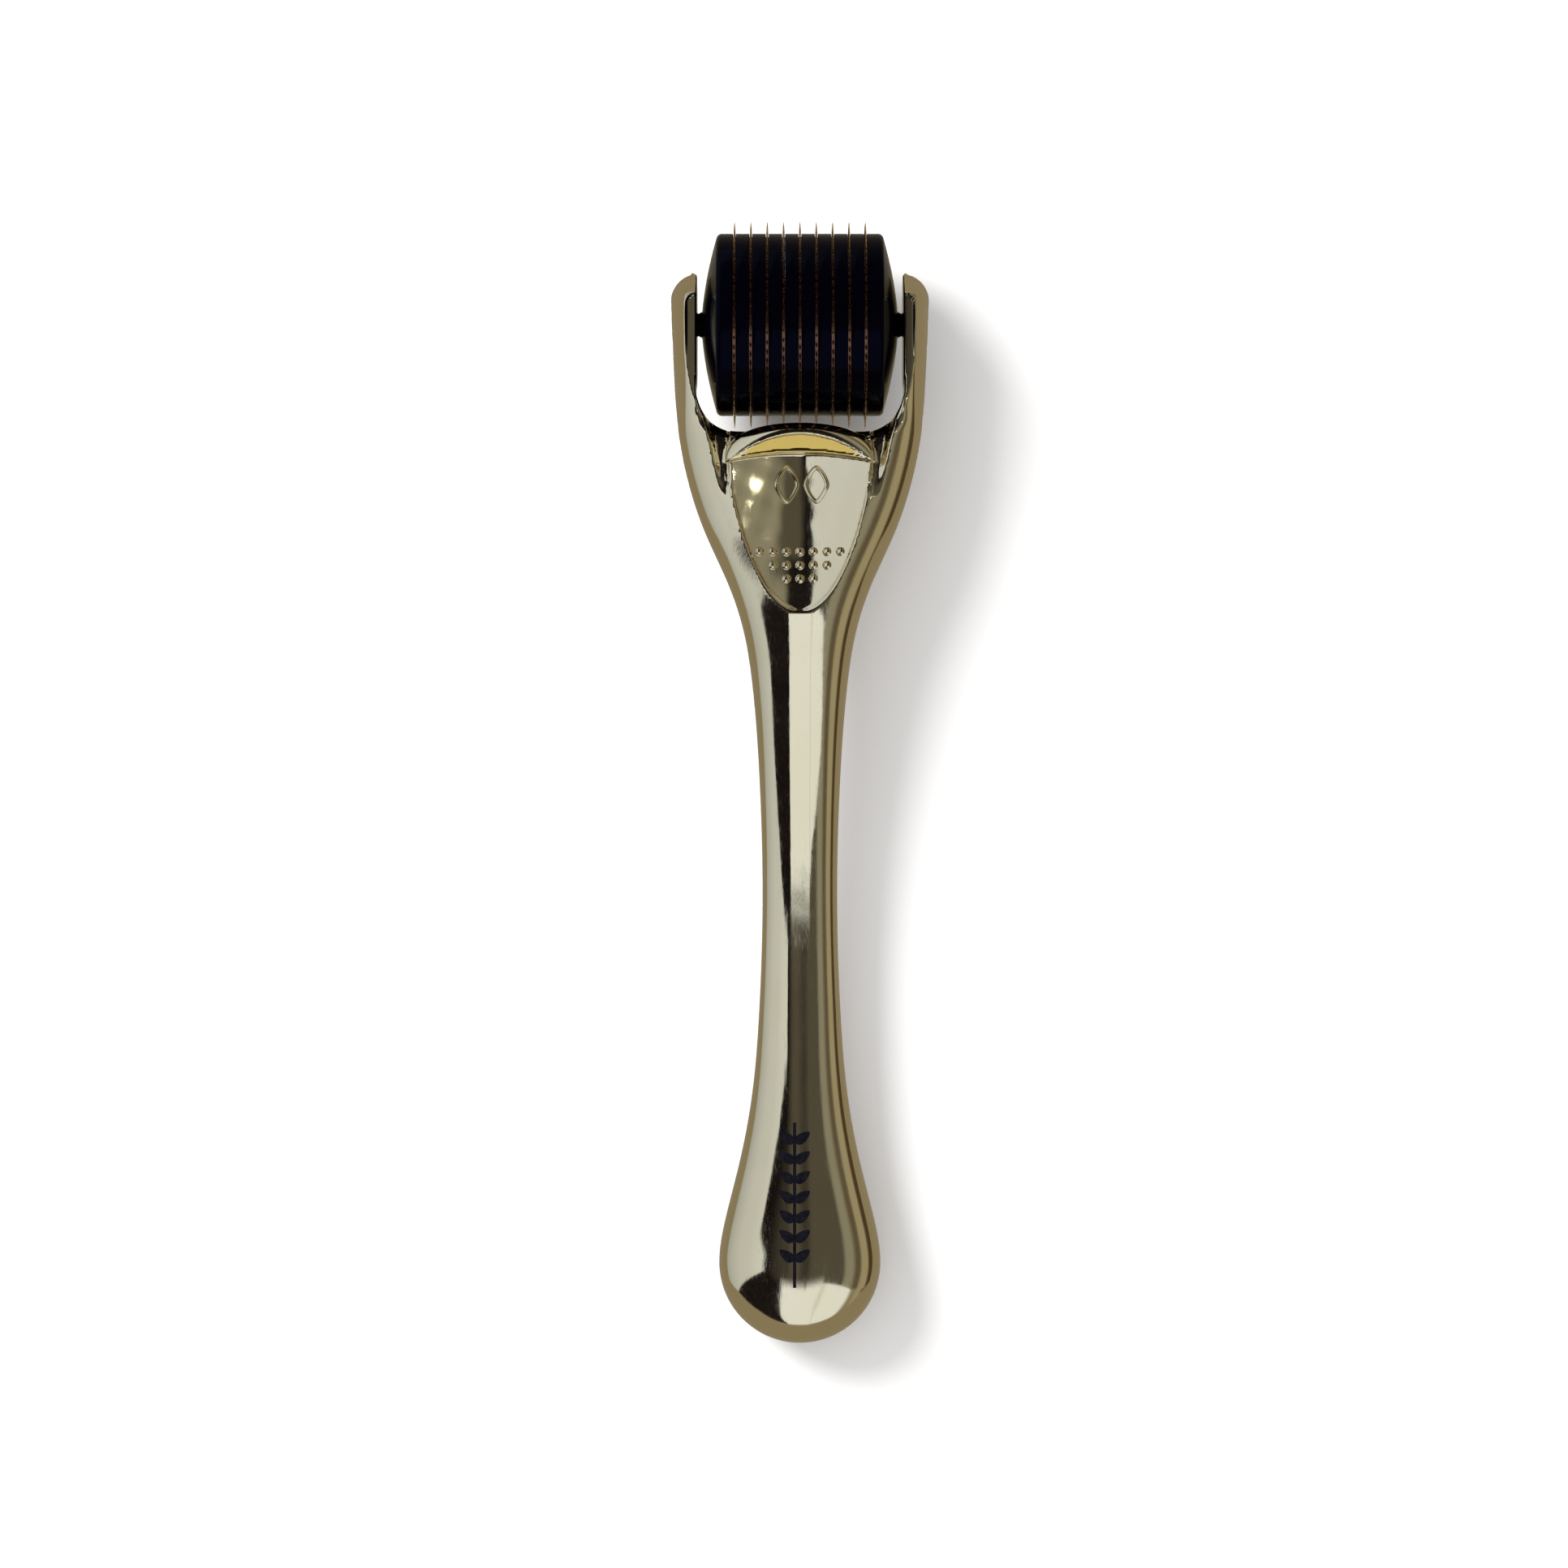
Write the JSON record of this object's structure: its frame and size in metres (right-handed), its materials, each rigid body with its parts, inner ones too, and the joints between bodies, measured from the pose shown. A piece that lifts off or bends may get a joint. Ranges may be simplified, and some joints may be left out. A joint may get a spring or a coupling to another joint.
{
  "type": "derma roller",
  "caption": "Hand roller with rows of fine needles on a domed black drum, held in the fork of a slender plated handle with a rounded bulb end, a thumb lip and raised grip dots.",
  "frame": {"origin": "on the surface the roller lies on, under the middle of its box; the roller lies on its back on its needle tips and on the bulb end", "axes": "+Y from the bulb end to the drum, +Z out of the thumb side, +X along the axle"},
  "size_m": [0.0316, 0.1378, 0.0253],
  "materials": {
    "gold_plating": "polished",
    "needle_metal": "satin",
    "black_plastic": "gloss",
    "hub_plastic": "satin"
  },
  "bodies": {
    "grip": {"handle": "gold_plating"},
    "roller": {"hub_core": "hub_plastic", "end_cap_left": "black_plastic", "end_cap_right": "black_plastic", "needle_disc_1": "needle_metal", "needle_disc_2": "needle_metal", "needle_disc_3": "needle_metal", "needle_disc_4": "needle_metal", "needle_disc_5": "needle_metal", "needle_disc_6": "needle_metal", "needle_disc_7": "needle_metal", "needle_disc_8": "needle_metal", "needle_disc_9": "needle_metal", "spacer_ring_1": "black_plastic", "spacer_ring_2": "black_plastic", "spacer_ring_3": "black_plastic", "spacer_ring_4": "black_plastic", "spacer_ring_5": "black_plastic", "spacer_ring_6": "black_plastic", "spacer_ring_7": "black_plastic", "spacer_ring_8": "black_plastic"}
  },
  "joints": [
    {"name": "roller_spin", "type": "hinge", "parent": "grip", "child": "roller", "pos_m": [0, 0.05627, 0.01265], "axis": [1, 0, 0], "continuous": true}
  ]
}
